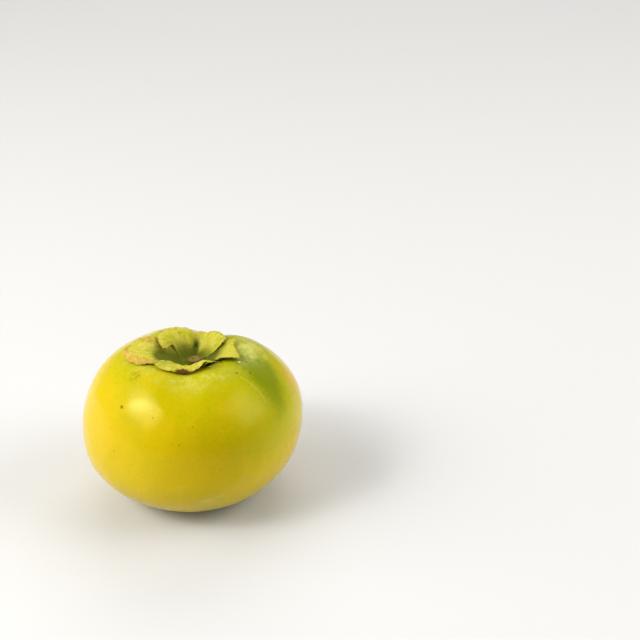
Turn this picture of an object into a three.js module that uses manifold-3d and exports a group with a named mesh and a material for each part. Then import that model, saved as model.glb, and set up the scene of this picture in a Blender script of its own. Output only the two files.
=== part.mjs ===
// A whole persimmon, picked, standing on the small flat spot of its blossom end.
// Millimetres, +Z up. The origin is on the surface it stands on, under the middle of the fruit.
// The pieces are the fruit, the four-lobed dry calyx that sits in the dish of its top,
// the stub of stem in the middle of the calyx, and the dried style in the dimple underneath.

import * as THREE from 'three';
import { mergeVertices } from 'three/addons/utils/BufferGeometryUtils.js';
import Module from 'manifold-3d';

const wasm = await Module();
wasm.setup();

const degree = Math.PI / 180;
const fullTurn = 2 * Math.PI;

// The fruit: a squat round body. Its left side is at -X and its right side at +X.
const bellyRadius = 39.3;
const bodyHeight = 61.7;
const widestHeight = { left: 27.0, right: 32.1 };
const shoulderFullness = { left: 2.1, right: 2.0 };
const undersideFullness = { left: 2.2, right: 2.3 };
const rightShoulderDrop = 2.7;
const pressedFlat = 1.4;

// Seen from above the belly is very slightly squared. The first corner is at this azimuth.
const squareness = 0.008;
const firstCorner = 12;

// The dish round the stem end, and the dimple round the blossom end.
const dishX = 0.4;
const dishY = -1.6;
const dishDepth = 12.0;
const dishRadius = 11.5;
const dimpleDepth = 2.9;
const dimpleRadius = 6.8;

// Shallow furrows run from the dish over the shoulder. Each has an azimuth, a depth and a width.
const furrows = [
  { toward: 260, depth: 2.2, width: 19 },
  { toward: 352, depth: 1.5, width: 15 },
  { toward: 72, depth: 5.0, width: 24 },
  { toward: 132, depth: 1.9, width: 28 },
];
const furrowMiddle = 22;
const furrowReach = 14;

// The calyx.
const bladeThickness = 0.8;
const discRadius = 6.4;
const discThickness = 2.3;
const discLevelRadius = 4.2;
const bladeRoot = 2.4;

// The stub of stem, which stands a little to the right of the middle, and the dried style.
const stemAside = 1.4;
const stemRadius = 2.1;
const stemHeight = 1.1;
const styleRadius = 3.1;
const styleHeight = 1.1;

// Pieces that touch are modelled this far apart.
const gap = 0.35;

// How fine each piece is.
const fruitSides = 60;
const upperRings = 21;
const lowerRings = 17;
const bladeSteps = 15;
const bladeStrips = 18;
const discSides = 32;

const clamp = (value, low, high) => Math.min(high, Math.max(low, value));
const mix = (a, b, share) => a + (b - a) * share;
const bump = (distance, width) => Math.exp(-((distance / width) ** 2));
const smooth = (value) => {
  const share = clamp(value, 0, 1);
  return share * share * (3 - 2 * share);
};
const span = (a, b) => Math.hypot(a[0] - b[0], a[1] - b[1], a[2] - b[2]);
const turnBetween = (a, b) => Math.abs(((((a - b) % 360) + 540) % 360) - 180);

// What differs between the left and the right side changes evenly round the fruit.
const bySide = (pair, azimuth) => mix(pair.left, pair.right, (1 + Math.cos(azimuth)) / 2);

// The radius seen from above at this azimuth and distance out, 0 at the pole and 1 at the belly.
const radiusAt = (azimuth, out) =>
  out * bellyRadius * (1 + squareness * out * Math.cos(4 * (azimuth - firstCorner * degree)));

// Where a place at this azimuth and distance out lies, seen from above.
function planAt(azimuth, out) {
  const radius = radiusAt(azimuth, out);
  return [radius * Math.cos(azimuth), radius * Math.sin(azimuth)];
}

// How much lower the furrows make the top at this place. They run out from the dish.
function furrowDepth(x, y) {
  const azimuth = Math.atan2(y - dishY, x - dishX) / degree;
  const along = bump(Math.hypot(x - dishX, y - dishY) - furrowMiddle, furrowReach);
  return furrows.reduce(
    (sum, f) => sum + f.depth * along * bump(turnBetween(azimuth, f.toward), f.width),
    0,
  );
}

// The height of the top surface. out is 0 at the pole and 1 at the belly.
function topHeight(azimuth, out) {
  const [x, y] = planAt(azimuth, out);
  const fullness = bySide(shoulderFullness, azimuth);
  const widest = bySide(widestHeight, azimuth);
  const rise = (1 - Math.min(out, 1) ** fullness) ** (1 / fullness);
  const crown = bodyHeight - rightShoulderDrop * Math.cos(azimuth) * out;
  const dish = dishDepth * bump(Math.hypot(x - dishX, y - dishY), dishRadius);
  return mix(widest, crown, rise) - dish - furrowDepth(x, y) * rise - pressedFlat;
}

// The height of the underside, pressed flat where it stands, with the dimple in the middle.
function bottomHeight(azimuth, out) {
  const fullness = bySide(undersideFullness, azimuth);
  const widest = bySide(widestHeight, azimuth);
  const rise = (1 - Math.min(out, 1) ** fullness) ** (1 / fullness);
  const round = widest * (1 - rise) - pressedFlat;
  const dimple = dimpleDepth * (1 - smooth((out * bellyRadius) / dimpleRadius));
  return Math.max(round, 0) + dimple;
}

// The top surface at a place seen from above.
function topAt(x, y) {
  const azimuth = Math.atan2(y, x);
  let out = Math.hypot(x, y) / bellyRadius;
  for (let step = 0; step < 4; step += 1) {
    out = Math.min((out * Math.hypot(x, y)) / Math.max(radiusAt(azimuth, out), 1e-9), 1);
  }
  return topHeight(azimuth, out);
}

// A closed body from rings of points, from a bottom point to a top point.
function bodyOfRings(bottom, rings, top) {
  const sides = rings[0].length;
  const points = [bottom, ...rings.flat(), top];
  const last = points.length - 1;
  const at = (ring, side) => 1 + ring * sides + (side % sides);
  const faces = [];
  for (let side = 0; side < sides; side += 1) {
    faces.push(0, at(0, side + 1), at(0, side));
    faces.push(last, at(rings.length - 1, side), at(rings.length - 1, side + 1));
    for (let ring = 0; ring < rings.length - 1; ring += 1) {
      const [a, b] = [at(ring, side), at(ring, side + 1)];
      const [c, d] = [at(ring + 1, side + 1), at(ring + 1, side)];
      faces.push(a, b, c, a, c, d);
    }
  }
  return geometryOf(points, faces);
}

function geometryOf(points, faces) {
  const geometry = new THREE.BufferGeometry();
  geometry.setAttribute('position', new THREE.Float32BufferAttribute(points.flat(), 3));
  geometry.setIndex(faces);
  return geometry;
}

// How far out each ring lies: they are closest together at the poles and at the belly.
const ringReach = (share) => Math.sin((share ** 1.2 * Math.PI) / 2);

function fruitGeometry() {
  const rings = [];
  const ringAt = (out, height) =>
    Array.from({ length: fruitSides }, (_, side) => {
      const azimuth = (side / fruitSides) * fullTurn;
      return [...planAt(azimuth, out), height(azimuth, out)];
    });
  for (let n = 1; n <= lowerRings; n += 1) {
    rings.push(ringAt(ringReach(n / lowerRings), bottomHeight));
  }
  for (let n = upperRings - 1; n >= 1; n -= 1) {
    rings.push(ringAt(ringReach(n / upperRings), topHeight));
  }
  return bodyOfRings([0, 0, bottomHeight(0, 0)], rings, [0, 0, topHeight(0, 0)]);
}

// A solid from a mesh with its vertices shared.
function solidOf(geometry) {
  const merged = mergeVertices(geometry, 1e-4);
  return new wasm.Manifold(
    new wasm.Mesh({
      numProp: 3,
      vertProperties: merged.attributes.position.array,
      triVerts: new Uint32Array(merged.index.array),
    }),
  );
}

function geometryOfSolid(solid) {
  const mesh = solid.getMesh();
  const geometry = new THREE.BufferGeometry();
  geometry.setAttribute('position', new THREE.BufferAttribute(mesh.vertProperties, 3));
  geometry.setIndex(new THREE.BufferAttribute(mesh.triVerts, 1));
  return geometry;
}

// The four lobes of the calyx. Each is a papery sheet hung on ribs, in counter-clockwise order
// seen from above. A rib starts at the root with its azimuth, and has a few stations after that,
// each with its distance from the middle of the dish, its azimuth and its lift off the skin.
const lobes = [
  { // The left lobe ends in a blunt tip, and its near margin folds down beyond a ridge.
    wave: 0.2,
    ribs: [
      { root: 124, stations: [[7, 128, 0], [11.8, 140, 0.4], [17, 158, 1.0], [21.2, 175, 0.85]] },
      { root: 152, stations: [[7, 157, 0.2], [13, 163, 0.3], [18, 170, 0.6], [22, 179, 0.9]] },
      { root: 178, stations: [[7, 180, 0.2], [13, 182, 0.1], [18, 182, 0.4], [22.4, 180, 0.9]] },
      { root: 200, stations: [[7, 203, 0.2], [13.2, 206, 0.1], [18, 198, 0.4], [22.6, 181, 0.95]] },
      { root: 216, stations: [[8, 222, 0.2], [15.3, 225, 0.4], [19, 209, 1.5], [23.1, 183, 1.0]] },
      { root: 226, stations: [[8, 229, 0.2], [16.2, 227, 0.3], [21.4, 209, 0.05], [23.7, 189, 0.2]] },
    ],
  },
  { // The near lobe drapes over the rim of the dish, and its right margin arches up.
    wave: 0.2,
    ribs: [
      { root: 226, stations: [[8, 229, 0.1], [13.6, 228, 0.55], [17.9, 223, 0.6]] },
      { root: 240, stations: [[8, 241, 0.2], [13.6, 237, 0.5], [18.5, 234, 0.4]] },
      { root: 254, stations: [[8, 254, 0.3], [13, 248, 0.7], [17.2, 250, 0.2]] },
      { root: 268, stations: [[8, 266, 0.5], [12.6, 261, 1.2], [16.5, 263, 0.15]] },
      { root: 282, stations: [[8, 280, 0.8], [12.5, 276, 1.5], [16, 276, 0.7]] },
      { root: 296, stations: [[8, 293, 1.1], [12.6, 288, 1.9], [15, 289, 2.0]] },
      { root: 310, stations: [[8, 308, 1.0], [13, 300, 1.6], [16.9, 308, 0.9]] },
    ],
  },
  { // The right lobe is broad and cut short, with its near margin lifted.
    wave: 0.15,
    ribs: [
      { root: 314, stations: [[8, 318, 0.8], [13.8, 323, 0.7], [18.8, 329, 1.25]] },
      { root: 328, stations: [[8, 334, 0.5], [13, 337, 0.7], [17.4, 341, 0.8]] },
      { root: 344, stations: [[8, 350, 0.5], [12.5, 352, 0.7], [16, 352, 0.75]] },
      { root: 360, stations: [[8, 364, 0.6], [12, 366, 0.7], [15.2, 367, 0.75]] },
      { root: 376, stations: [[8, 379, 0.8], [12, 380, 0.9], [17, 379, 0.85]] },
    ],
  },
  { // The far lobe stands up, has a deep pleat, and its left margin lies over the left lobe.
    wave: 0.2,
    ribs: [
      { root: 26, stations: [[6.5, 14, 0.9], [8.8, 9, 1.7], [11, 12, 1.9], [13.4, 21, 1.9]] },
      { root: 44, stations: [[6.5, 38, 0.6], [9, 36, 1.6], [11.4, 36, 2.2], [13.6, 36, 2.4]] },
      { root: 60, stations: [[6.5, 57, 0.4], [9, 55, 1.2], [11.6, 54, 2.1], [14.4, 57, 2.7]] },
      { root: 74, stations: [[6.5, 74, 0.2], [9, 73, 0.4], [11.6, 72, 1.5], [14.3, 75, 2.9]] },
      { root: 88, stations: [[6.5, 88, 0.4], [9, 88, 1.5], [11.4, 88, 2.3], [13.5, 90, 2.6]] },
      { root: 104, stations: [[6.5, 107, 0.6], [9.2, 110, 1.9], [11.6, 109, 2.3], [14, 108, 2.3]] },
      { root: 118, stations: [[6.5, 122, 0.6], [9.4, 124, 2.1], [12, 124, 2.4], [14.5, 124, 2.2]] },
      { root: 128, stations: [[6.5, 129, 0.6], [9.4, 132, 2.2], [11.8, 140, 2.4], [13.9, 142, 2.1]] },
      { root: 135, stations: [[6.5, 134, 0.6], [9.1, 137, 2.0], [10.1, 153, 2.3], [11.8, 164, 2.1]] },
      { root: 140, stations: [[6.4, 138, 0.5], [8.8, 139, 1.5], [8.6, 164, 1.8], [9.8, 187, 2.0]] },
    ],
  },
];

// A smooth curve through evenly spaced values, from share 0 to share 1.
function through(values, share) {
  const last = values.length - 1;
  const place = clamp(share, 0, 1) * last;
  const n = Math.min(Math.floor(place), last - 1);
  const t = place - n;
  const [a, b, c, d] = [n - 1, n, n + 1, n + 2].map((i) => values[clamp(i, 0, last)]);
  const bend = 2 * a - 5 * b + 4 * c - d;
  return 0.5 * (2 * b + (c - a) * t + bend * t * t + (3 * b - a - 3 * c + d) * t ** 3);
}

// The middle of a lobe's thickness. along is 0 at the root and 1 at the tip, across 0 to 1.
function lobePoint(lobe, along, across) {
  const value = (index) =>
    through(
      lobe.ribs.map(({ root, stations }) =>
        through([[bladeRoot, root, 0], ...stations].map((station) => station[index]), along),
      ),
      across,
    );
  const direction = value(1) * degree;
  const x = dishX + value(0) * Math.cos(direction);
  const y = dishY + value(0) * Math.sin(direction);
  const edge = (2 * across - 1) ** 2;
  const ripple = lobe.wave * smooth(along * 1.5) * edge * Math.sin(11 * along + 3 * across);
  const lift = Math.max(value(2) + ripple, 0);
  return [x, y, topAt(x, y) + gap + bladeThickness / 2 + lift];
}

// One lobe as a thin closed blade. Each square of it is cut along its shorter diagonal.
function lobeSolid(lobe) {
  const rows = [];
  for (let n = 0; n <= bladeSteps; n += 1) {
    const row = [];
    for (let m = 0; m <= bladeStrips; m += 1) {
      row.push(new THREE.Vector3(...lobePoint(lobe, n / bladeSteps, m / bladeStrips)));
    }
    rows.push(row);
  }
  const normalAt = (n, m) => {
    const lengthwise = rows[Math.min(n + 1, bladeSteps)][m].clone().sub(rows[Math.max(n - 1, 0)][m]);
    const crosswise = rows[n][Math.min(m + 1, bladeStrips)].clone().sub(rows[n][Math.max(m - 1, 0)]);
    return lengthwise.cross(crosswise).normalize();
  };
  const points = [];
  for (const side of [1, -1]) {
    for (let n = 0; n <= bladeSteps; n += 1) {
      for (let m = 0; m <= bladeStrips; m += 1) {
        const p = rows[n][m].clone().addScaledVector(normalAt(n, m), (side * bladeThickness) / 2);
        p.z = Math.max(p.z, topAt(p.x, p.y) + gap);
        points.push([p.x, p.y, p.z]);
      }
    }
  }
  const across = bladeStrips + 1;
  const sheet = across * (bladeSteps + 1);
  const faces = [];
  for (let n = 0; n < bladeSteps; n += 1) {
    for (let m = 0; m < bladeStrips; m += 1) {
      const [a, b] = [n * across + m, (n + 1) * across + m];
      const [c, d] = [b + 1, a + 1];
      const short = span(points[a], points[c]) < span(points[b], points[d]);
      const [e, f, g, h] = short ? [a, b, c, d] : [b, c, d, a];
      faces.push(e, f, g, e, g, h);
      faces.push(sheet + e, sheet + g, sheet + f, sheet + e, sheet + h, sheet + g);
    }
  }
  const wall = (from, to) => faces.push(from, to, to + sheet, from, to + sheet, from + sheet);
  for (let m = 0; m < bladeStrips; m += 1) {
    wall(m, m + 1);
    wall(bladeSteps * across + m + 1, bladeSteps * across + m);
  }
  for (let n = 0; n < bladeSteps; n += 1) {
    wall((n + 1) * across, n * across);
    wall(n * across + bladeStrips, (n + 1) * across + bladeStrips);
  }
  return solidOf(geometryOf(points, faces));
}

// The thick disc that the lobes grow from. It follows the floor of the dish, and is level on top.
function discSolid() {
  const floor = topAt(dishX, dishY) + gap;
  const ringAt = (radius, height) =>
    Array.from({ length: discSides }, (_, side) => {
      const azimuth = (side / discSides) * fullTurn;
      const x = dishX + radius * Math.cos(azimuth);
      const y = dishY + radius * Math.sin(azimuth);
      return [x, y, height(x, y)];
    });
  const onFloor = (x, y) => topAt(x, y) + gap;
  const level = () => floor + discThickness;
  const rings = [
    ringAt(discRadius * 0.5, onFloor),
    ringAt(discRadius, onFloor),
    ringAt(discRadius, (x, y) => onFloor(x, y) + bladeThickness),
    ringAt(discLevelRadius, level),
    ringAt(discLevelRadius * 0.6, level),
  ];
  return solidOf(bodyOfRings([dishX, dishY, floor], rings, [dishX, dishY, level()]));
}

function calyxGeometry() {
  const solid = lobes.map(lobeSolid).reduce((joined, lobe) => joined.add(lobe), discSolid());
  return geometryOfSolid(solid);
}

// A short woody stub with a flared foot and a ragged, slanting break.
function stemGeometry() {
  const sides = 14;
  const middle = dishX + stemAside;
  const foot = topAt(dishX, dishY) + gap + discThickness + gap;
  const ringAt = (radius, height, ragged) =>
    Array.from({ length: sides }, (_, side) => {
      const azimuth = (side / sides) * fullTurn;
      const chipped = ragged * Math.sin(3 * azimuth + 1) + ragged * 0.6 * Math.sin(5 * azimuth);
      return [
        middle + radius * Math.cos(azimuth),
        dishY + radius * Math.sin(azimuth),
        foot + height + chipped,
      ];
    });
  const rings = [
    ringAt(stemRadius * 1.25, 0.5, 0),
    ringAt(stemRadius * 1.05, 0.9, 0),
    ringAt(stemRadius, stemHeight - 0.4, 0.15),
    ringAt(stemRadius * 0.82, stemHeight, 0.3),
    ringAt(stemRadius * 0.5, stemHeight - 0.5, 0.15),
  ];
  return bodyOfRings([middle, dishY, foot + 0.5], rings, [middle, dishY, foot + stemHeight - 0.7]);
}

// The dried style: a low four-pointed star with its point down.
function styleGeometry() {
  const sides = 16;
  const roof = bottomHeight(0, 0) - gap;
  const ringAt = (radius, height) =>
    Array.from({ length: sides }, (_, side) => {
      const azimuth = (side / sides) * fullTurn;
      const star = 0.6 + 0.4 * Math.abs(Math.cos(2 * azimuth)) ** 1.5;
      const x = radius * star * Math.cos(azimuth);
      const y = radius * star * Math.sin(azimuth);
      const out = (radius * star) / bellyRadius;
      return [x, y, bottomHeight(azimuth, out) - gap - height];
    });
  const rings = [
    ringAt(styleRadius * 0.35, styleHeight),
    ringAt(styleRadius * 0.7, styleHeight * 0.45),
    ringAt(styleRadius, 0.15),
    ringAt(styleRadius * 0.9, 0),
    ringAt(styleRadius * 0.5, 0),
  ];
  return bodyOfRings([0, 0, roof - styleHeight * 1.15], rings, [0, 0, roof]);
}

const part = new THREE.Group();

function addPiece(name, geometry, color, roughness) {
  const material = new THREE.MeshStandardMaterial({ color, roughness, metalness: 0 });
  const mesh = new THREE.Mesh(geometry, material);
  mesh.name = name;
  part.add(mesh);
}

addPiece('fruit', fruitGeometry(), 0xd9c80a, 0.35);
addPiece('calyx', calyxGeometry(), 0xb9b843, 0.75);
addPiece('stem_stub', stemGeometry(), 0x6b4a2b, 0.9);
addPiece('dried_style', styleGeometry(), 0x2a1a0e, 0.9);

export default part;
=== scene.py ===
# %% [markdown]
# # A persimmon, picked and set down
# This lesson dresses a whole persimmon: a squat waxy fruit, the dry four-lobed calyx in the dish
# of its top, the scar of its stem and the dried style underneath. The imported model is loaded
# first and used as a fixed frame. Every piece below is made in that same frame, so it needs no
# fitting afterwards.

# %% Load the frame
import math

import bpy
import numpy as np
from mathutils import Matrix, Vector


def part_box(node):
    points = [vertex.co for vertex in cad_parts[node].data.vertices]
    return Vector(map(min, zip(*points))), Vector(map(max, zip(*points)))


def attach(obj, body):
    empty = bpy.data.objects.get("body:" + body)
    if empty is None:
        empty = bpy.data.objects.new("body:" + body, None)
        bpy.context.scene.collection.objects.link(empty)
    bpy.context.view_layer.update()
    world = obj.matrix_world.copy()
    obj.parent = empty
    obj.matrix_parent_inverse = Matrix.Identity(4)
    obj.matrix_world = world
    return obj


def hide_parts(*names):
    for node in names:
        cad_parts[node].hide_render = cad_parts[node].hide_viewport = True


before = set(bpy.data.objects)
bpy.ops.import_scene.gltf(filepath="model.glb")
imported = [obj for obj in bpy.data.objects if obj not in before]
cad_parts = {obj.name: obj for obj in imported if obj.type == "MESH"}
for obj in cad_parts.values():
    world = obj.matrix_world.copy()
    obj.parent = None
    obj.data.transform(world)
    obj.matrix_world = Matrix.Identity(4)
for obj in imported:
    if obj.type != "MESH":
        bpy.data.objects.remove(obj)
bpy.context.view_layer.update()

mm = 0.001
degree = math.pi / 180
print("nodes:", sorted(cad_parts))

# %% [markdown]
# ## The camera
# A product photograph of a small fruit is taken with a longish lens from a little above. The
# camera could aim straight at the fruit, but here the fruit sits low on the left of the
# picture, so the camera points past it: it is pitched less and turned to the right.

# %% Place the camera
lens_length = 65
camera_distance = 0.4202
camera_elevation = 29 * degree
fruit_middle = 0.031
camera_pitch = 24.785 * degree
camera_turn = -7.1375 * degree

camera_data = bpy.data.cameras.new("camera")
camera_data.lens = lens_length
camera_data.sensor_width = 36
camera_data.clip_start = 0.01
camera = bpy.data.objects.new("camera", camera_data)
camera.location = (
    0,
    -camera_distance * math.cos(camera_elevation),
    fruit_middle + camera_distance * math.sin(camera_elevation),
)
camera.rotation_euler = (90 * degree - camera_pitch, 0, camera_turn)
bpy.context.scene.collection.objects.link(camera)
bpy.context.scene.camera = camera
print("camera at", [round(v, 4) for v in camera.location])

# %% [markdown]
# ## Small curves that shape everything
# Natural forms are made of soft rises and dips, so three little curves do most of the work: a
# blend between two values, a step with rounded ends, and a bell. They take whole arrays of
# numbers, because a mesh has many points.

# %% Blend, step and bell
def mix(a, b, share):
    return a + (b - a) * share


def smooth(value):
    share = np.clip(value, 0, 1)
    return share * share * (3 - 2 * share)


def bump(distance, width):
    return np.exp(-((distance / width) ** 2))


def turn_between(a, b):
    """The angle in degrees between two azimuths, whichever way round is shorter."""
    return np.abs((a - b + 180) % 360 - 180)


# %% [markdown]
# Nothing that grew is perfectly even. One way to roughen a mesh is a displace modifier with a
# noise texture, but the same unevenness is wanted here for ragged outlines and crumpled sheets
# too.
# So it is a function: a handful of waves that run in random directions, added up. The seed is
# fixed, so the fruit is the same each time.

# %% Natural unevenness
def unevenness(points, wavelength, seed, waves=14):
    """A wandering value, mostly between -1 and 1, for each point in millimetres."""
    draw = np.random.default_rng(seed)
    points = np.asarray(points, float)
    directions = draw.normal(size=(waves, points.shape[-1]))
    directions /= np.linalg.norm(directions, axis=1)[:, None]
    stretch = draw.uniform(0.7, 1.4, waves)
    phases = draw.uniform(0, 2 * math.pi, waves)
    angles = points @ directions.T * (2 * math.pi / wavelength) * stretch + phases
    return np.sin(angles).sum(-1) / math.sqrt(waves)


print("unevenness at the origin:", float(unevenness([0, 0, 0], 5, seed=1)))

# %% [markdown]
# ## The skin as a formula
# The fruit is a squat round body that is fuller on one side than on the other, with a dish
# round the stem end, a dimple at the blossom end, a small flat spot and four shallow furrows.
# It could be sculpted, but then the calyx would have to be fitted by eye. A formula for the
# height of the skin lets every other piece ask where the skin is.

# %% Sizes of the fruit, in millimetres
fruit_low, fruit_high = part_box("fruit")
squareness = 0.008
first_corner = 12 * degree
half_width = (fruit_high.x - fruit_low.x) / 2 / mm
belly_radius = half_width / (1 + squareness * math.cos(4 * first_corner))
body_height = 61.7
widest_height = (27.0, 32.1)
shoulder_fullness = (2.1, 2.0)
underside_fullness = (2.2, 2.3)
right_shoulder_drop = 2.7
pressed_flat = 1.4
dish_x, dish_y = 0.4, -1.6
dish_depth, dish_radius = 12.0, 11.5
dimple_depth, dimple_radius = 2.9, 6.8
furrows = [(260, 2.2, 19), (352, 1.5, 15), (72, 5.0, 24), (132, 1.9, 28)]
furrow_middle, furrow_reach = 22, 14
print("belly radius:", round(belly_radius, 2), "mm")


# %% Height of the skin
def by_side(pair, azimuth):
    left, right = pair
    return mix(left, right, (1 + np.cos(azimuth)) / 2)


def radius_at(azimuth, out):
    corners = np.cos(4 * (azimuth - first_corner))
    return out * belly_radius * (1 + squareness * out * corners)


def furrow_depth(x, y):
    azimuth = np.arctan2(y - dish_y, x - dish_x) / degree
    along = bump(np.hypot(x - dish_x, y - dish_y) - furrow_middle, furrow_reach)
    return sum(
        depth * along * bump(turn_between(azimuth, toward), width)
        for toward, depth, width in furrows
    )


def rise_at(fullness, out):
    return (1 - np.minimum(out, 1) ** fullness) ** (1 / fullness)


def top_height(azimuth, out):
    """The upper skin. out is 0 at the pole and 1 at the belly."""
    radius = radius_at(azimuth, out)
    x, y = radius * np.cos(azimuth), radius * np.sin(azimuth)
    widest = by_side(widest_height, azimuth)
    rise = rise_at(by_side(shoulder_fullness, azimuth), out)
    crown = body_height - right_shoulder_drop * np.cos(azimuth) * out
    dish = dish_depth * bump(np.hypot(x - dish_x, y - dish_y), dish_radius)
    return mix(widest, crown, rise) - dish - furrow_depth(x, y) * rise - pressed_flat


def bottom_height(azimuth, out):
    """The lower skin, flat where it stands, with the dimple in the middle."""
    widest = by_side(widest_height, azimuth)
    rise = rise_at(by_side(underside_fullness, azimuth), out)
    dimple = dimple_depth * (1 - smooth(out * belly_radius / dimple_radius))
    return np.maximum(widest * (1 - rise) - pressed_flat, 0) + dimple


def skin_above(x, y):
    """The height of the upper skin over a place seen from above."""
    azimuth = np.arctan2(y, x)
    reach = np.hypot(x, y)
    out = reach / belly_radius
    for _ in range(4):
        out = np.minimum(out * reach / np.maximum(radius_at(azimuth, out), 1e-9), 1)
    return top_height(azimuth, out)


print("floor of the dish:", round(float(skin_above(dish_x, dish_y)), 2), "mm")

# %% [markdown]
# ## Making a mesh from points
# Each piece below is a grid or a stack of rings. Blender could add primitives and modifiers,
# but a list of points and faces says exactly what is made. Masks such as how green the skin is
# are stored with the points, as named values that a material can read.

# %% Turn points and faces into a piece of the model
def add_piece(name, points, faces, finish, masks, slot, *nodes):
    mesh = bpy.data.meshes.new(name)
    mesh.from_pydata((np.asarray(points) * mm).tolist(), [], faces)
    mesh.polygons.foreach_set("use_smooth", [True] * len(mesh.polygons))
    for mask, values in masks.items():
        layer = mesh.attributes.new(mask, "FLOAT", "POINT")
        layer.data.foreach_set("value", np.asarray(values, np.float32))
    mesh.materials.append(finish)
    mesh.update()
    piece = bpy.data.objects.new(name, mesh)
    bpy.context.scene.collection.objects.link(piece)
    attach(piece, "root")
    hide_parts(*nodes)
    triangles = sum(len(face) - 2 for face in faces)
    print(name, "has", triangles, "triangles")
    return piece


def ring_faces(sides, rings):
    """Faces of a closed body: a bottom point, rings of points from the bottom up, a top point."""
    last = 1 + sides * rings
    faces = []
    for side in range(sides):
        following = (side + 1) % sides
        faces.append((0, 1 + following, 1 + side))
        top_ring = 1 + (rings - 1) * sides
        faces.append((last, top_ring + side, top_ring + following))
        for ring in range(rings - 1):
            low, high = 1 + ring * sides, 1 + (ring + 1) * sides
            faces.append((low + side, low + following, high + following, high + side))
    return faces


# %% [markdown]
# ## Shader maths that reads like maths
# A material is a graph of nodes. Drawn by hand, a sum such as 1 - mask * 0.5 takes two nodes and
# three links. This small class wraps a socket, so that the sum can be written as it is and the
# nodes add themselves. Any other node comes from one method.

# %% A socket that can be added, multiplied and subtracted
class Wire:
    def __init__(self, finish, socket):
        self.finish = finish
        self.socket = socket

    def __add__(self, other):
        return self.finish.math("ADD", self, other)

    def __sub__(self, other):
        return self.finish.math("SUBTRACT", self, other)

    def __rsub__(self, other):
        return self.finish.math("SUBTRACT", other, self)

    def __mul__(self, other):
        return self.finish.math("MULTIPLY", self, other)

    __radd__ = __add__
    __rmul__ = __mul__


# %% A finish: one material and the nodes that it is made of
class Finish:
    def __init__(self, name, **constants):
        self.material = bpy.data.materials.new(name)
        self.material.use_nodes = True
        self.nodes = self.material.node_tree.nodes
        self.links = self.material.node_tree.links
        self.shader = self.nodes["Principled BSDF"]
        for socket, value in constants.items():
            self.shader.inputs[socket.replace("_", " ")].default_value = value
        self.place = self.node("TexCoord", out="Object")

    def node(self, kind, settings=None, values=None, out=0):
        node = self.nodes.new("ShaderNode" + kind)
        for setting, value in (settings or {}).items():
            setattr(node, setting, value)
        for socket, value in (values or {}).items():
            if isinstance(value, Wire):
                self.links.new(value.socket, node.inputs[socket])
            else:
                node.inputs[socket].default_value = value
        return Wire(self, node.outputs[out])

    def math(self, operation, a, b):
        return self.node("Math", {"operation": operation}, {0: a, 1: b})

    def mask(self, name):
        """A value that is stored with the points of the mesh."""
        return self.node("Attribute", {"attribute_name": name}, out="Fac")

    def step(self, value, start, end):
        """Goes smoothly from 0 to 1 while the value goes from start to end, up or down."""
        limits = {"Value": value, "From Min": start, "From Max": end}
        return self.node("MapRange", {"interpolation_type": "SMOOTHSTEP"}, limits)

    def colour(self, a, b, share):
        """Goes from colour a to colour b as the share goes from 0 to 1."""
        return self.node("Mix", {"data_type": "RGBA"}, {0: share, 6: a, 7: b}, out=2)

    def noise(self, size, detail=3.0, place=None, roughness=0.5):
        """A cloudy value about 0.5. size is that of its spots, in millimetres."""
        values = {"Vector": place or self.place, "Scale": 1 / (size * mm)}
        values.update({"Detail": detail, "Roughness": roughness})
        return self.node("TexNoise", None, values, out="Fac")

    def near(self, point, radius, soft):
        """1 within a radius of a point, fading to 0 over soft. All in millimetres."""
        values = {0: self.place, 1: tuple(v * mm for v in point)}
        distance = self.node("VectorMath", {"operation": "DISTANCE"}, values, out="Value")
        return 1 - self.step(distance, (radius - soft / 2) * mm, (radius + soft / 2) * mm)

    def connect(self, socket, value):
        self.links.new(value.socket, self.shader.inputs[socket])

    def relief(self, height, depth):
        """Lets a height from 0 to 1 dent the surface. depth is in millimetres."""
        values = {"Height": height, "Distance": depth * mm, "Strength": 1.0}
        self.connect("Normal", self.node("Bump", None, values))


def paint(red, green, blue):
    """A colour as seen on a screen, 0 to 255, turned into the linear one that nodes use."""
    def linear(level):
        share = level / 255
        return share / 12.92 if share < 0.04045 else ((share + 0.055) / 1.055) ** 2.4

    return (linear(red), linear(green), linear(blue), 1.0)


# %% [markdown]
# ## The finish of the skin
# Persimmon skin is smooth, tight and waxy. It ripens from green through yellow-green to orange,
# first on the side that had the sun, and a pale bloom of wax is left where nothing rubbed it
# off. An image would freeze that in place, so the colours are mixed from masks instead, and
# fine noise flecks them with orange and green. A little light goes into the flesh and comes out
# again, which is what subsurface is for. The reflections are tinted, so that the skin keeps its
# deep yellow where it mirrors the pale room.

# %% Mix the colours of the skin
skin = Finish(
    "persimmon_skin",
    Subsurface_Weight=0.08,
    Subsurface_Radius=(1.0, 0.6, 0.05),
    Subsurface_Scale=2.0 * mm,
    Specular_IOR_Level=0.3,
    Specular_Tint=(1.0, 0.95, 0.35, 1.0),
)
ripe_yellow = paint(198, 172, 0)
green_yellow = paint(174, 167, 0)
leaf_green = paint(120, 130, 0)
sun_orange = paint(196, 154, 0)
# A duller gold for the painted shade on the front of the fruit.
shade_gold = paint(166, 142, 0)
wax_white = paint(206, 204, 116)
print("skin is mixed from", ripe_yellow[:3], "to", leaf_green[:3])

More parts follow.
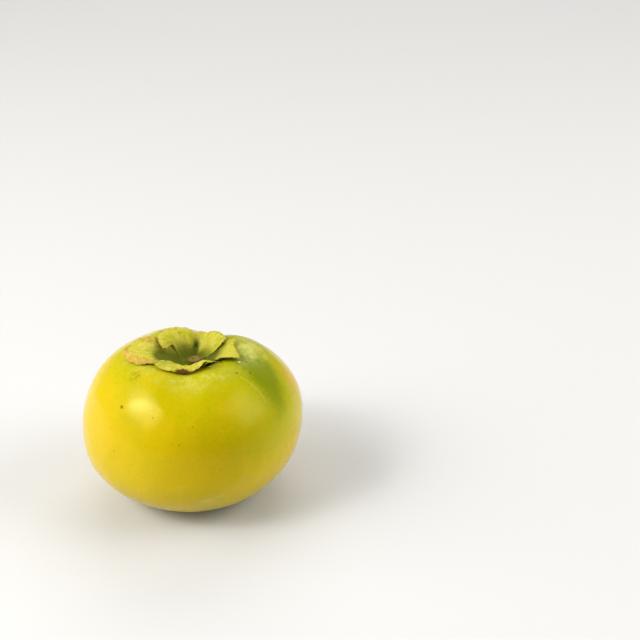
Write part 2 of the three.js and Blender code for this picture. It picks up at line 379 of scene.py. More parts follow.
# %% Spread them by how green and how ripe the skin is
cloud = skin.noise(14, detail=2)
mottle = skin.noise(1.1, detail=4, roughness=0.65)
fleck = skin.noise(0.8, detail=3, roughness=0.6)
# Part of this green, round the dish under the calyx lobes, is painted shade.
greener_and_lobe_shade = skin.mask("greener_and_lobe_shade") + (cloud - 0.5) * 0.7 + (mottle - 0.5) * 0.6
ground = skin.colour(ripe_yellow, green_yellow, skin.step(greener_and_lobe_shade, 0.0, 0.55))
ground = skin.colour(ground, leaf_green, skin.step(greener_and_lobe_shade, 0.5, 1.3))
# Painted shade: a duller gold on the front of the fruit.
ground = skin.colour(ground, shade_gold, skin.mask("front_shade"))
riper = skin.mask("riper") + (mottle - 0.5) * 0.2
ground = skin.colour(ground, sun_orange, skin.step(riper, 0.1, 1.0))
ripe_flecks = skin.step(fleck, 0.5, 0.7) * (1 - skin.step(greener_and_lobe_shade, 0.2, 0.8))
green_flecks = skin.step(fleck, 0.48, 0.28)
ground = skin.colour(ground, sun_orange, ripe_flecks * 0.65)
ground = skin.colour(ground, leaf_green, green_flecks * 0.28)

# %% [markdown]
# The bloom is thin wax. Close up it is patchy, and it hides the gloss, so the same mask that
# whitens the colour also roughens the surface.

# %% Lay the bloom over the colours
wax_patches = skin.noise(3.2, detail=5, roughness=0.7)
bloom = skin.mask("bloom") * (wax_patches * 4 - 1)
bloom = skin.step(bloom, 0.05, 1.0)
ground = skin.colour(ground, wax_white, bloom * 0.6)

# %% [markdown]
# A real skin has small dark specks where it was pricked, a bruise, a pale rubbed dot and one
# thin pale scratch. The specks could be modelled as pits, but at half a millimetre a dark dot
# with soft edges is what the eye sees. Each is a ball in space that colours the skin it meets.
# The specks in front have places of their own. A dozen more are scattered at random behind, so
# that the back is as marked as the front.


# %% Find places on the skin
def on_skin(azimuth, out, height=top_height):
    """A point on the skin, from an azimuth in degrees and how far out it is."""
    turned = azimuth * degree
    radius = radius_at(turned, out)
    return (
        radius * math.cos(turned),
        radius * math.sin(turned),
        float(height(turned, out)),
    )


# %% Prick the skin with specks
speck_brown = paint(62, 56, 18)
specks_behind = 12
# Azimuth in degrees, how far out, and radius in millimetres.
specks = [(224, 0.845, 0.62), (246, 0.85, 0.38), (312, 0.585, 0.42), (323, 0.64, 0.36)]
specks += [(203, 0.52, 0.3), (225, 0.99, 0.25), (269, 0.88, 0.22), (262, 0.95, 0.25)]
draw = np.random.default_rng(4)
for _ in range(specks_behind):
    specks.append((draw.uniform(0, 180), draw.uniform(0.5, 1.0), draw.uniform(0.15, 0.4)))
for azimuth, out, radius in specks:
    dot = skin.near(on_skin(azimuth, out), radius, radius)
    ground = skin.colour(ground, speck_brown, dot * 0.75)
print(len(specks), "specks")

# %% Bruise it, and rub a pale dot
bruise_olive = paint(140, 124, 0)
rubbed_pale = paint(226, 220, 160)
bruise = skin.near(on_skin(220, 0.634), 2.0, 2.6) * skin.step(mottle, 0.4, 0.65)
ground = skin.colour(ground, bruise_olive, bruise * 0.8)
pale_dot = skin.near(on_skin(328, 0.5), 0.45, 0.4)
ground = skin.colour(ground, rubbed_pale, pale_dot)

# %% [markdown]
# The scratch is a thin curved line. It is where the skin meets a hollow ball: the space between
# two balls about the same middle, cut short by a third ball round the stretch that is scratched.

# %% Scratch it
scratch_pale = paint(186, 182, 90)
scratch_bend = (4, -44, 44)
scratch_start = on_skin(316, 0.62)
scratch_end = on_skin(313, 0.86)
bend_radius = math.dist(scratch_bend, on_skin(315.5, 0.72))
scratch_half_width, scratch_softness = 0.14, 0.16
outer_ball = skin.near(scratch_bend, bend_radius + scratch_half_width, scratch_softness)
inner_ball = skin.near(scratch_bend, bend_radius - scratch_half_width, scratch_softness)
scratch_middle = tuple((a + b) / 2 for a, b in zip(scratch_start, scratch_end))
scratch_half = math.dist(scratch_start, scratch_end) / 2
scratch = (outer_ball - inner_ball) * skin.near(scratch_middle, scratch_half, 3.0)
ground = skin.colour(ground, scratch_pale, scratch * 0.7)
print("scratch is", round(2 * scratch_half, 1), "mm long")

# %% Finish the skin
skin.connect("Base Color", ground)
skin.connect("Roughness", 0.22 + bloom * 0.25)
pores = skin.noise(0.45, detail=2)
skin.relief(pores * 0.35 + mottle * 0.65 - scratch * 0.8, 0.02)
print("skin finish has", len(skin.nodes), "nodes")

# %% [markdown]
# ## The fruit
# The body is a stack of rings from the blossom end to the stem end, close together at the poles
# where the dimple and the dish are. A little unevenness, about a fifth of a millimetre, keeps
# the highlight from looking machined. It fades out towards the flat spot, so the fruit still
# stands on the floor, and towards the dish, so the calyx still fits.

# %% Make the body of the fruit
fruit_sides, lower_rings, upper_rings = 300, 86, 110


def ring_reach(share):
    return np.sin(share**1.2 * math.pi / 2)


def fruit_ring(out, height):
    azimuth = np.arange(fruit_sides) / fruit_sides * 2 * math.pi
    radius = radius_at(azimuth, out)
    level = height(azimuth, out)
    return np.stack([radius * np.cos(azimuth), radius * np.sin(azimuth), level], axis=1)


rings = [
    fruit_ring(ring_reach(n / lower_rings), bottom_height) for n in range(1, lower_rings + 1)
]
rings += [
    fruit_ring(ring_reach(n / upper_rings), top_height) for n in range(upper_rings - 1, 0, -1)
]
bottom_pole = [[0, 0, float(bottom_height(0.0, 0.0))]]
top_pole = [[0, 0, float(top_height(0.0, 0.0))]]
fruit_points = np.concatenate([bottom_pole, *rings, top_pole])

# %% Press the natural unevenness into it
squatness, middle_height = 0.8, 30
inward = (fruit_points - [0, 0, middle_height]) * [1, 1, squatness]
inward /= np.linalg.norm(inward, axis=1)[:, None]
swell = 0.16 * unevenness(fruit_points, 24, seed=3) + 0.05 * unevenness(fruit_points, 9, seed=5)
away_from_floor = smooth((fruit_points[:, 2] - 3) / 10)
away_from_dish = smooth((np.hypot(fruit_points[:, 0], fruit_points[:, 1]) - 16) / 8)
calm = np.where(fruit_points[:, 2] > middle_height, away_from_dish, away_from_floor)
fruit_points -= inward * (np.abs(swell) * calm)[:, None]
print("fruit is", np.ptp(fruit_points, axis=0).round(1), "mm")

# %% [markdown]
# The masks say where the skin is greener, riper or dusted with bloom, and where shade is painted
# into its colour. They follow how the fruit grew: greener in the furrow and on the shaded side,
# riper on the sunny shoulder, and bloom kept where the calyx lobes sheltered the slope round the
# dish. Round the dish the green is partly painted shade cast by the calyx lobes, and the duller
# gold on the front is painted shade. Each mask is a sum of soft patches, and a patch has an
# azimuth and a height with a width for each.

# %% Where the skin is green, ripe or waxy
x, y, z = fruit_points.T
azimuth = np.arctan2(y, x) / degree % 360
from_dish = np.hypot(x - dish_x, y - dish_y)


def facing(toward, wide):
    return bump(turn_between(azimuth, toward), wide)


def patch(toward, wide, height, tall):
    return facing(toward, wide) * bump(z - height, tall)


upper = smooth((z - 20) / 20)
furrow_green = ((338, 15, 52.5, 0.7), (332, 15, 48.5, 0.55), (327, 12, 43, 0.25))
greener_and_lobe_shade = (0.30 * facing(330, 75) + 0.55 * facing(60, 70)) * upper
greener_and_lobe_shade += sum(
    strength * patch(toward, wide, height, 4.5) for toward, wide, height, strength in furrow_green
)
greener_and_lobe_shade += 0.25 * patch(322, 16, 37, 8) + 0.2 * patch(300, 20, 36, 9)
# Round the dish, under and beside the calyx lobes, the green is partly the skin's own colour and
# partly painted shade cast by the lobes.
greener_and_lobe_shade += 0.55 * bump(from_dish, 17) + 0.25 * bump(from_dish - 23, 9)
riper = 0.75 * patch(358, 14, 41, 8) + 0.35 * patch(215, 40, 35, 18)
# Painted shade on the front of the fruit, laid as a duller gold.
front_shade = 0.6 * patch(283, 28, 36, 9)

# %% Where the bloom was left
slope = bump(from_dish - 20, 5) * smooth((z - 40) / 6)
smudges = ((276, 16), (282, 17.7), (288, 20), (293, 22.5), (261, 22.6))
kept = 0.15 + 0.3 * facing(0, 30) + 0.25 * facing(272, 30) + 0.25 * facing(205, 25)
bloom = slope * kept
bloom += 0.35 * patch(2, 16, 53, 3.5) + 0.2 * patch(275, 16, 14, 4)
bloom += sum(0.28 * patch(toward, 3.5, height, 1.6) for toward, height in smudges)
fruit_masks = {"greener_and_lobe_shade": greener_and_lobe_shade, "riper": riper, "front_shade": front_shade, "bloom": bloom}
print({name: round(float(values.max()), 2) for name, values in fruit_masks.items()})

# %% Add the fruit
fruit_faces = ring_faces(fruit_sides, len(rings))
fruit = add_piece(
    "persimmon_fruit", fruit_points, fruit_faces, skin.material, fruit_masks, "skin", "fruit"
)

# %% [markdown]
# ## The finish of the calyx
# The calyx is what is left of the flower's green leaves. By harvest it is papery: green and
# dark towards the middle, yellow-green over the lobes, straw and orange along the margins that
# dried first, and scorched brown in places. The dark green is partly the tissue's own colour and
# partly painted shade: down in the dish, along the pleat and where one lobe overhangs another.
# Freckles gather near the margins, and fine veins run from the root to the tip. The lobes carry
# masks for each of these, and the veins are a noise that is squeezed across a lobe and stretched
# along it.

# %% Mix the colours of the calyx
calyx_finish = Finish("calyx_tissue", Specular_IOR_Level=0.2)
calyx_green = paint(164, 160, 0)
pale_green = paint(192, 182, 74)
deep_green_and_shade = paint(80, 88, 0)
straw = paint(186, 162, 72)
dry_orange = paint(184, 142, 36)
scorched = paint(88, 50, 12)
freckle_brown = paint(112, 72, 26)

vein_density, vein_waviness = 0.030, 0.0025
fibres = calyx_finish.node("CombineXYZ", None, {
    0: calyx_finish.mask("across") * vein_density,
    1: calyx_finish.mask("along") * vein_waviness,
    2: calyx_finish.mask("lobe"),
})
vein = calyx_finish.noise(1.0, detail=4, place=fibres, roughness=0.6)
blotch = calyx_finish.noise(1.6, detail=4, roughness=0.6)
grain = calyx_finish.noise(0.4, detail=3)

tissue = calyx_finish.colour(calyx_green, pale_green, calyx_finish.step(vein, 0.33, 0.67))
# Deep green is partly the tissue's own colour and partly painted shade, laid by the deep stains
# in the dish, creases and overhung places.
deep = calyx_finish.mask("deep") + (vein - 0.5) * 0.5 + (blotch - 0.5) * 0.4
tissue = calyx_finish.colour(tissue, deep_green_and_shade, calyx_finish.step(deep, 0.1, 1.0))
dry = calyx_finish.mask("dry") + (blotch - 0.5) * 0.9 + (grain - 0.5) * 0.3
dry_colour = calyx_finish.colour(straw, dry_orange, calyx_finish.step(blotch, 0.4, 0.62))
tissue = calyx_finish.colour(tissue, dry_colour, calyx_finish.step(dry, 0.3, 0.9))
scorch = calyx_finish.mask("scorch") + (blotch - 0.5) * 0.9 + (grain - 0.5) * 0.5
tissue = calyx_finish.colour(tissue, scorched, calyx_finish.step(scorch, 0.45, 0.85))
freckle = calyx_finish.step(calyx_finish.noise(0.55, detail=2), 0.62, 0.7)
by_margin = calyx_finish.step(calyx_finish.mask("dry"), 0.0, 0.3)
freckle = freckle * (0.35 + by_margin * 0.4)
tissue = calyx_finish.colour(tissue, freckle_brown, freckle)

calyx_finish.connect("Base Color", tissue)
calyx_finish.connect("Roughness", 0.62 + blotch * 0.2)
calyx_finish.relief(vein * 0.5 + grain * 0.5, 0.07)
print("calyx finish has", len(calyx_finish.nodes), "nodes")

# %% [markdown]
# ## The shape of a lobe
# A lobe is a thin sheet. Cloth simulation could crumple one, but not into the folds of this
# calyx. Here each sheet hangs on a few ribs that run from the root to the margin. A rib has
# stations: a distance from the middle of the dish, an azimuth and a lift off the skin. Smooth
# curves through the stations, and then from rib to rib, give every point between.


# %% Smooth curves through a few values
def through(values, share):
    """Follows evenly spaced values as the share goes from 0 to 1."""
    values = np.asarray(values, float)
    if values.ndim == 1:
        values = values.reshape(-1, 1, 1) * np.ones_like(share)
    last = len(values) - 1
    position = np.clip(share, 0, 1) * last
    n = np.minimum(position.astype(int), last - 1)
    t = position - n
    a, b, c, d = (
        np.take_along_axis(values, np.clip(n + k, 0, last)[None], axis=0)[0]
        for k in (-1, 0, 1, 2)
    )
    bend = 2 * a - 5 * b + 4 * c - d
    return 0.5 * (2 * b + (c - a) * t + bend * t**2 + (3 * b - a - 3 * c + d) * t**3)


# %% [markdown]
# The ribs are listed lobe by lobe, counter-clockwise seen from above: the azimuth of the root,
# then the stations. Folds are creases that run along a lobe: where across it they lie, how wide
# and deep they are, and where they begin. Nicks are bites out of the margin: where, how wide and
# how deep. Stains say where the tissue is dry, scorched or deep green: how far along the lobe and
# across it, how long and wide, and how strong. The deep green stains are partly painted shade, at
# the roots in the dish, in the pleat and under overhanging margins, and the dry stain on the left
# lobe's flap is partly painted light.

# %% The four lobes
blade_root = 2.4
lobes = [
    {  # The left lobe ends in a blunt tip, and its near margin is folded down like a flap.
        "wave": 0.2,
        "ribs": [
            (124, (7, 128, 0.0), (11.8, 140, 0.4), (17, 158, 1.0), (21.2, 175, 0.85)),
            (152, (7, 157, 0.2), (13, 163, 0.3), (18, 170, 0.6), (22, 179, 0.9)),
            (178, (7, 180, 0.2), (13, 182, 0.1), (18, 182, 0.4), (22.4, 180, 0.9)),
            (200, (7, 203, 0.2), (13.2, 206, 0.1), (18, 198, 0.4), (22.6, 181, 0.95)),
            (216, (8, 222, 0.2), (15.3, 225, 0.4), (19, 209, 1.5), (23.1, 183, 1.0)),
            (226, (8, 229, 0.2), (16.2, 227, 0.3), (21.4, 209, 0.05), (23.7, 189, 0.2)),
        ],
        "folds": [],
        "nicks": [(0.62, 0.03, 0.02), (0.86, 0.04, 0.03)],
        "stains": [
            ("dry", 0.75, 0.0, 0.45, 0.22, 1.0),
            # Partly dry tissue, partly painted light where the flap folds down and catches the
            # lamp.
            ("dry", 0.85, 1.0, 0.50, 0.17, 1.5),
            ("dry", 1.0, 0.5, 0.12, 0.6, 0.8),
            ("scorch", 1.0, 0.75, 0.05, 0.25, 0.75),
            # Partly painted shade at the root in the dish, and painted shade under the far lobe's
            # curled margin.
            ("deep", 0.15, 0.5, 0.28, 0.9, 1.1),
            ("deep", 0.38, 0.68, 0.22, 0.25, 1.1),
            ("deep", 0.30, 0.62, 0.12, 0.12, 1.5),
        ],
    },
    {  # The near lobe drapes over the rim of the dish, and its right margin arches up.
        "wave": 0.2,
        "ribs": [
            (226, (8, 229, 0.1), (13.6, 228, 0.55), (17.9, 223, 0.6)),
            (240, (8, 241, 0.2), (13.6, 237, 0.5), (18.5, 234, 0.4)),
            (254, (8, 254, 0.3), (13, 248, 0.7), (17.2, 250, 0.2)),
            (268, (8, 266, 0.5), (12.6, 261, 1.2), (16.5, 263, 0.15)),
            (282, (8, 280, 0.8), (12.5, 276, 1.5), (16, 276, 0.7)),
            (296, (8, 293, 1.1), (12.6, 288, 1.9), (15, 289, 2.0)),
            (310, (8, 308, 1.0), (13, 300, 1.6), (16.9, 308, 0.9)),
        ],
        "folds": [(0.2, 0.06, 0.25, 0.5)],
        "nicks": [(0.42, 0.04, 0.03), (0.52, 0.03, 0.04)],
        "stains": [
            ("scorch", 1.0, 0.46, 0.2, 0.14, 1.5),
            ("dry", 0.58, 0.50, 0.10, 0.12, 1.3),
            # Painted shadow on the right wing, under the lifted margin of the right lobe.
            ("deep", 0.8, 1.0, 0.35, 0.1, 1.6),
            ("dry", 0.95, 0.66, 0.14, 0.12, 0.7),
            # Darker green at the left margin, and at the root partly painted shade in the dish.
            ("deep", 0.8, 0.05, 0.4, 0.2, 0.4),
            ("deep", 0.15, 0.5, 0.32, 0.9, 0.9),
        ],
    },
    {  # The right lobe is broad and cut short, with its near margin lifted.
        "wave": 0.15,
        "ribs": [
            (314, (8, 318, 0.8), (13.8, 323, 0.7), (18.8, 329, 1.25)),
            (328, (8, 334, 0.5), (13, 337, 0.7), (17.4, 341, 0.8)),
            (344, (8, 350, 0.5), (12.5, 352, 0.7), (16, 352, 0.75)),
            (360, (8, 364, 0.6), (12, 366, 0.7), (15.2, 367, 0.75)),
            (376, (8, 379, 0.8), (12, 380, 0.9), (17, 379, 0.85)),
        ],
        "folds": [],
        "nicks": [(0.34, 0.04, 0.05), (0.22, 0.03, 0.03), (0.60, 0.05, 0.04)],
        "stains": [
            ("dry", 1.0, 0.5, 0.10, 0.6, 0.7),
            # Partly painted shade at the root in the dish, and painted shadow along the side that
            # the far lobe overhangs.
            ("deep", 0.15, 0.5, 0.38, 0.9, 1.0),
            ("deep", 0.3, 1.0, 0.5, 0.25, 0.9),
            ("scorch", 0.42, 0.05, 0.12, 0.12, 0.8),
            ("scorch", 1.0, 0.5, 0.06, 0.5, 0.65),
        ],
    },
    {  # The far lobe stands up, has a deep pleat, and its left margin curls over the left lobe.
        "wave": 0.2,
        "ribs": [
            (26, (6.5, 14, 0.9), (8.8, 9, 1.7), (11, 12, 1.9), (13.4, 21, 1.9)),
            (44, (6.5, 38, 0.6), (9, 36, 1.6), (11.4, 36, 2.2), (13.6, 36, 2.4)),
            (60, (6.5, 57, 0.4), (9, 55, 1.2), (11.6, 54, 2.1), (14.4, 57, 2.7)),
            (74, (6.5, 74, 0.2), (9, 73, 0.4), (11.6, 72, 1.5), (14.3, 75, 2.9)),
            (88, (6.5, 88, 0.4), (9, 88, 1.5), (11.4, 88, 2.3), (13.5, 90, 2.6)),
            (104, (6.5, 107, 0.6), (9.2, 110, 1.9), (11.6, 109, 2.3), (14, 108, 2.3)),
            (118, (6.5, 122, 0.6), (9.4, 124, 2.1), (12, 124, 2.4), (14.5, 124, 2.2)),
            (128, (6.5, 129, 0.6), (9.4, 132, 2.2), (11.8, 140, 2.4), (13.9, 142, 2.1)),
            (135, (6.5, 134, 0.6), (9.1, 137, 2.0), (10.1, 153, 2.3), (11.8, 164, 2.1)),
            (140, (6.4, 138, 0.5), (8.8, 139, 1.5), (8.6, 164, 1.8), (9.8, 187, 2.0)),
        ],
        "folds": [(0.39, 0.035, 1.3, 0.35)],
        "nicks": [(0.52, 0.03, 0.04), (0.25, 0.03, 0.02)],
        "stains": [
            ("dry", 1.0, 0.5, 0.10, 0.8, 0.6),
            ("scorch", 1.02, 0.52, 0.05, 0.06, 1.0),
            ("scorch", 0.95, 0.15, 0.12, 0.2, 0.55),
            ("scorch", 1.0, 0.7, 0.05, 0.3, 0.7),
            # Partly painted shade at the root in the dish, and a painted shade line down the
            # pleat.
            ("deep", 0.1, 0.5, 0.33, 0.9, 1.1),
            ("deep", 0.52, 0.38, 0.25, 0.045, 1.3),
        ],
    },
]
print(len(lobes), "lobes on", sum(len(lobe["ribs"]) for lobe in lobes), "ribs")

# %% [markdown]
# The sheet is laid a little above the skin, then given what a plain surface lacks: a wavy and
# nicked margin, creases, and fine crumpling that grows towards the dry margin. It is thick at
# the root and thin as paper at the margin.

# %% Lay one lobe on the fruit
blade_steps, blade_strips = 84, 84
rest_gap = 0.35
sheet_middle = 0.4


def stations_of(rib):
    root, *stations = rib
    return [(blade_root, root, 0), *stations]


def follow(lobe, reach, side, part):
    """One part of the stations, such as the lift, at each place along and across a lobe."""
    ribs = [
        through([station[part] for station in stations_of(rib)], reach) for rib in lobe["ribs"]
    ]
    return through(ribs, side)


def lobe_surface(lobe, seed):
    """Points over a lobe, with how far along and across it each of them is."""
    along, across = np.meshgrid(
        np.linspace(0, 1, blade_steps + 1), np.linspace(0, 1, blade_strips + 1), indexing="ij"
    )
    torn = 0.012 * unevenness(across[..., None] * 10, 1.1, seed)
    torn += 0.010 * unevenness(across[..., None] * 10, 0.35, seed + 1)
    for where, width, depth in lobe["nicks"]:
        torn -= depth * bump(across - where, width)
    frayed = 0.010 * unevenness(along[..., None] * 10, 1.3, seed + 2)
    reach = along * (1 + torn * smooth((along - 0.7) / 0.3))
    side = across + frayed * (2 * across - 1) ** 3
    distance, azimuth, lift = (follow(lobe, reach, side, part) for part in range(3))
    ripple = lobe["wave"] * smooth(reach * 1.5) * (2 * side - 1) ** 2
    lift = lift + ripple * np.sin(11 * reach + 3 * side)
    for where, width, depth, start in lobe["folds"]:
        lift = lift - depth * bump(side - where, width) * smooth((reach - start) / 0.25)
    x = dish_x + distance * np.cos(azimuth * degree)
    y = dish_y + distance * np.sin(azimuth * degree)
    place = np.stack([x, y], axis=-1)
    crumple = 0.16 * unevenness(place, 3.2, seed + 3) + 0.07 * unevenness(place, 1.3, seed + 4)
    lift = np.maximum(lift + crumple * smooth(reach * 1.4), -0.25)
    z = skin_above(x, y) + rest_gap + sheet_middle + lift
    return np.stack([x, y, z], axis=-1), reach, side


# %% Give the lobe its thickness
def lobe_shell(lobe, number):
    middle, along, across = lobe_surface(lobe, seed=20 + 10 * number)
    lengthwise = np.gradient(middle, axis=0)
    crosswise = np.gradient(middle, axis=1)
    normal = np.cross(lengthwise, crosswise)
    normal /= np.linalg.norm(normal, axis=-1)[..., None]
    from_margin = np.minimum(np.minimum(across, 1 - across) * 1.5, 1 - along)
    half = mix(0.07, 0.2, smooth(from_margin / 0.12)) + 0.15 * (1 - smooth(along / 0.5))
    upper = middle + normal * half[..., None]
    under = middle - normal * half[..., None]
    for sheet in (upper, under):
        floor = skin_above(sheet[..., 0], sheet[..., 1]) + 0.08
        sheet[..., 2] = np.maximum(sheet[..., 2], floor)
    points = np.concatenate([upper.reshape(-1, 3), under.reshape(-1, 3)])
    masks = {"along": along, "across": across, "lobe": np.full_like(along, number)}
    for kind in ("dry", "deep", "scorch"):
        masks[kind] = sum(
            strength * bump(along - at, long) * bump(across - side, wide)
            for stain, at, side, long, wide, strength in lobe["stains"]
            if stain == kind
        ) + np.zeros_like(along)
    margin = bump(from_margin, 0.05)
    masks["dry"] += 0.2 * margin
    return points, {name: np.tile(values.ravel(), 2) for name, values in masks.items()}


def lobe_faces():
    wide = blade_strips + 1
    sheet = wide * (blade_steps + 1)
    faces = []
    for n in range(blade_steps):
        for m in range(blade_strips):
            a, b = n * wide + m, (n + 1) * wide + m
            faces.append((a, b, b + 1, a + 1))
            faces.append((sheet + a, sheet + a + 1, sheet + b + 1, sheet + b))
    edge = list(range(wide))
    edge += [n * wide + blade_strips for n in range(1, blade_steps + 1)]
    edge += [blade_steps * wide + m for m in range(blade_strips - 1, -1, -1)]
    edge += [n * wide for n in range(blade_steps - 1, 0, -1)]
    for here, following in zip(edge, edge[1:] + edge[:1]):
        faces.append((here, following, following + sheet, here + sheet))
    return faces


# %% [markdown]
# The lobes grow from a thick disc that follows the floor of the dish and is nearly level on
# top. It is made of rings, as the fruit is, with ridges that run out into the lobes.

# %% Make the disc
disc_radius, disc_thickness, disc_level_radius = 6.4, 2.3, 4.2
disc_rim_thickness = 0.8
disc_sides = 96
disc_floor = float(skin_above(dish_x, dish_y)) + rest_gap
disc_level = disc_floor + disc_thickness - 0.02
print("disc is level at", round(disc_level, 2), "mm")


def disc_shell():
    azimuth = np.arange(disc_sides) / disc_sides * 2 * math.pi
    rings = []

    def add_ring(radius, height):
        x = dish_x + radius * np.cos(azimuth)
        y = dish_y + radius * np.sin(azimuth)
        rings.append(np.stack([x, y, height(x, y, radius)], axis=1))

    def on_floor(x, y, radius):
        return skin_above(x, y) + rest_gap

    def on_top(x, y, radius):
        out = smooth((radius - disc_level_radius) / (disc_radius - disc_level_radius))
        rim = skin_above(x, y) + rest_gap + disc_rim_thickness
        ridges = 0.12 * np.sin(9 * azimuth + radius) + 0.1 * np.sin(23 * azimuth)
        return mix(disc_level, rim, out) + ridges * smooth(radius / 3) * (1 - out)

    for share in (0.3, 0.6, 0.9, 1.0):
        add_ring(disc_radius * share, on_floor)
    for share in np.linspace(1.0, 0.1, 16):
        add_ring(disc_radius * share, on_top)
    bottom = [[dish_x, dish_y, disc_floor]]
    top = [[dish_x, dish_y, disc_level]]
    return np.concatenate([bottom, *rings, top]), ring_faces(disc_sides, len(rings))


# %% Put the calyx together
calyx_points, calyx_faces, calyx_masks = [], [], []
start = 0
for number, lobe in enumerate(lobes):
    points, masks = lobe_shell(lobe, number)
    calyx_points.append(points)
    calyx_masks.append(masks)
    calyx_faces += [tuple(start + n for n in face) for face in lobe_faces()]
    start += len(points)
disc_points, disc_faces = disc_shell()
calyx_points.append(disc_points)
calyx_faces += [tuple(start + n for n in face) for face in disc_faces]

# %% [markdown]
# The disc is deep green, with a scorched patch beside the stem and a dry one further out. The
# disc has no width to stripe, so its veins follow the turn about the middle.

# %% Stain the disc
disc_number = 9.0
aside, back = disc_points[:, 0] - dish_x, disc_points[:, 1] - dish_y


def disc_stain(right, wide):
    """A round stain whose middle is so many millimetres to the right of the disc's."""
    return bump(np.hypot(aside - right, back), wide)


calyx_masks.append({
    "along": np.hypot(aside, back) / 20,
    "across": np.arctan2(back, aside) / math.pi,
    "lobe": np.full(len(disc_points), disc_number),
    "dry": 0.9 * disc_stain(5, 2.6),
    "deep": np.full(len(disc_points), 0.9),
    "scorch": 0.75 * disc_stain(3, 3.5),
})

# %% Add the calyx
calyx = add_piece(
    "persimmon_calyx",
    np.concatenate(calyx_points),
    calyx_faces,
    calyx_finish.material,
    {name: np.concatenate([masks[name] for masks in calyx_masks]) for name in calyx_masks[0]},
    "calyx_tissue",
    "calyx",
)

# %% [markdown]
# ## The scar of the stem
# The fruit was snapped or cut from its twig, which leaves a low ragged stub of dry wood. A plain
# disc would look like a button. Rings with uneven heights and a fibrous, tan and brown finish
# give the torn look.

# %% Make the stub of the stem
stem_finish = Finish("stem_wood", Specular_IOR_Level=0.25)
wood = stem_finish.noise(0.7, detail=5, roughness=0.7)
bark_brown = paint(66, 60, 14)
fibre_tan = paint(146, 122, 64)
wood_colour = stem_finish.colour(bark_brown, fibre_tan, stem_finish.step(wood, 0.3, 0.7))
stem_finish.connect("Base Color", wood_colour)
stem_finish.connect("Roughness", 0.75 + wood * 0.2)
stem_finish.relief(wood, 0.2)

stem_aside, stem_radius = 1.4, 2.1
stem_sides = 64
stem_foot = disc_floor + disc_thickness + rest_gap


def stem_ring(radius, height, ragged):
    azimuth = np.arange(stem_sides) / stem_sides * 2 * math.pi
    wobble = radius * (1 + 0.05 * np.sin(5 * azimuth) + 0.03 * np.sin(11 * azimuth + 1))
    x = dish_x + stem_aside + wobble * np.cos(azimuth)
    y = dish_y + wobble * np.sin(azimuth)
    torn = ragged * unevenness(np.stack([x, y], axis=1), 1.0, seed=61)
    return np.stack([x, y, stem_foot + height + torn], axis=1)


# Share of the radius, height in millimetres and raggedness, from the foot up and inwards.
stem_profile = [(1.2, 0.5, 0), (1.22, 0.62, 0), (1.08, 0.8, 0.02), (1.0, 0.9, 0.05)]
stem_profile += [(0.95, 1.02, 0.08), (0.85, 1.05, 0.12), (0.7, 0.9, 0.14)]
stem_profile += [(0.5, 0.78, 0.12), (0.3, 0.72, 0.1), (0.12, 0.7, 0.05)]
stem_rings = [
    stem_ring(stem_radius * share, height, ragged) for share, height, ragged in stem_profile
]
stem_middle = [dish_x + stem_aside, dish_y]
stem_points = np.concatenate([
    [[*stem_middle, stem_foot + 0.5]],
    *stem_rings,
    [[*stem_middle, stem_foot + 0.68]],
])
stem = add_piece(
    "stem_stub_wood",
    stem_points,
    ring_faces(stem_sides, len(stem_rings)),
    stem_finish.material,
    {},
    "stem_wood",
    "stem_stub",
)

# %% [markdown]
# ## The dried style
# Under the fruit, in the dimple, the flower's style is left as a tiny black-brown star with four
# points. It is easy to leave out, because it faces the table, but the fruit is made whole,
# underside included.

# %% Make the dried style
style_finish = Finish("style_tissue", Specular_IOR_Level=0.3)
char = style_finish.noise(0.5, detail=4, roughness=0.65)
style_black = paint(30, 20, 12)
style_brown = paint(96, 66, 36)
style_colour = style_finish.colour(style_black, style_brown, style_finish.step(char, 0.4, 0.75))
style_finish.connect("Base Color", style_colour)
style_finish.connect("Roughness", 0.7 + char * 0.2)
style_finish.relief(char, 0.15)

style_radius, style_height = 3.1, 1.1
style_sides = 96


def style_ring(radius, height):
    azimuth = np.arange(style_sides) / style_sides * 2 * math.pi
    star = radius * (0.6 + 0.4 * np.abs(np.cos(2 * azimuth)) ** 1.5)
    level = bottom_height(azimuth, star / belly_radius) - rest_gap - height
    level = level + 0.06 * np.sin(13 * azimuth) * (height > 0)
    return np.stack([star * np.cos(azimuth), star * np.sin(azimuth), level], axis=1)


# Share of the radius and share of the height, from the middle out and back under the skin.
style_profile = [(0.15, 1.1), (0.35, 0.95), (0.55, 0.6), (0.75, 0.38), (0.92, 0.24)]
style_profile += [(1.0, 0.12), (0.95, 0.0), (0.5, 0.0)]
style_rings = [
    style_ring(style_radius * share, style_height * deep) for share, deep in style_profile
]
style_roof = float(bottom_height(0.0, 0.0)) - rest_gap
style_points = np.concatenate([
    [[0, 0, style_roof - style_height * 1.15]],
    *style_rings,
    [[0, 0, style_roof]],
])
style = add_piece(
    "dried_style_star",
    style_points,
    ring_faces(style_sides, len(style_rings)),
    style_finish.material,
    {},
    "style_tissue",
    "dried_style",
)

# %% [markdown]
# ## The floor and the light
# The fruit stands on a plain pale table that runs out of the picture on every side. A curved
# backdrop would hide the horizon, but the camera looks down and never sees it.

# %% Lay the floor
floor_size = 6.0
floor_finish = Finish("pale_floor", Roughness=0.6, Specular_IOR_Level=0.2)
table_grey = (0.60, 0.594, 0.584, 1)
floor_finish.shader.inputs["Base Color"].default_value = table_grey
floor_mesh = bpy.data.meshes.new("floor")
half_floor = floor_size / 2
corners = [(-half_floor, -half_floor, 0), (half_floor, -half_floor, 0)]
corners += [(half_floor, half_floor, 0), (-half_floor, half_floor, 0)]
floor_mesh.from_pydata(corners, [], [(0, 1, 2, 3)])
floor_mesh.materials.append(floor_finish.material)
floor = bpy.data.objects.new("floor", floor_mesh)
bpy.context.scene.collection.objects.link(floor)
print("floor is", floor_size, "m wide")

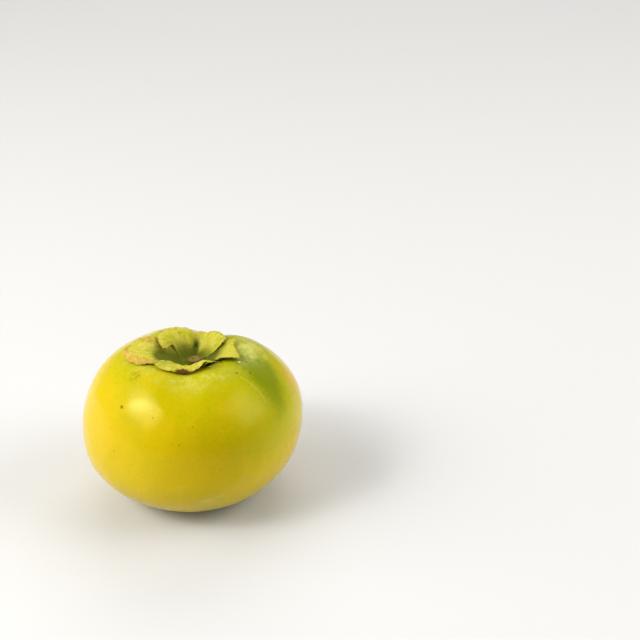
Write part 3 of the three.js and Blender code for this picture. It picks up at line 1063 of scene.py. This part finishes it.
# %% [markdown]
# A glossy fruit shows its lamps. Here two square softboxes make the two soft highlights on the
# skin, and the bulb of the left one shows as a brighter core. The other four lamps light the
# fruit and the table without being seen in the skin. A photographer would use a polarising filter
# to lose such reflections. In Blender, a lamp can be kept out of glossy rays.


# %% Hang the lamps
def lamp(name, azimuth, elevation, distance, size, power, colour):
    """A square soft lamp that faces the fruit."""
    data = bpy.data.lights.new(name, "AREA")
    data.shape = "SQUARE"
    data.size = size
    data.energy = power
    data.color = colour
    light = bpy.data.objects.new(name, data)
    flat = math.cos(elevation * degree)
    light.location = (
        distance * flat * math.cos(azimuth * degree),
        distance * flat * math.sin(azimuth * degree),
        fruit_middle + distance * math.sin(elevation * degree),
    )
    light.rotation_euler = ((90 - elevation) * degree, 0, (azimuth + 90) * degree)
    bpy.context.scene.collection.objects.link(light)
    return light


lamp("key_softbox", -157, 41, 1.0, 0.52, 4.3, (1.0, 0.99, 0.97))
lamp("key_bulb", -157, 41, 0.99, 0.19, 2.0, (0.95, 0.97, 1.0))
lamp("right_softbox", -17, 39, 1.0, 0.54, 2.2, (1.0, 1.0, 1.0))
back_window = lamp("back_window", 80, 32, 2.4, 2.0, 28.0, (1.0, 0.995, 0.985))
ceiling = lamp("ceiling", 80, 68, 2.2, 2.4, 11.0, (1.0, 0.995, 0.985))
left_fill = lamp("left_fill", -178, 24, 1.4, 1.6, 24.0, (1.0, 0.99, 0.97))
right_fill = lamp("right_fill", -5, 20, 1.5, 1.4, 16.5, (1.0, 1.0, 1.0))
for unseen in (back_window, ceiling, left_fill, right_fill):
    unseen.visible_glossy = False

# %% [markdown]
# The room gives a weak even light from all round, which keeps the shadows from going black. The
# view transform is set to Standard, because the usual filmic one would grey the yellows.

# %% Light the room
world = bpy.data.worlds.new("room")
world.use_nodes = True
room = world.node_tree.nodes["Background"]
room.inputs["Color"].default_value = (1.0, 0.995, 0.98, 1)
room.inputs["Strength"].default_value = 0.22
bpy.context.scene.world = world
bpy.context.scene.view_settings.view_transform = "Standard"
bpy.context.scene.view_settings.look = "None"
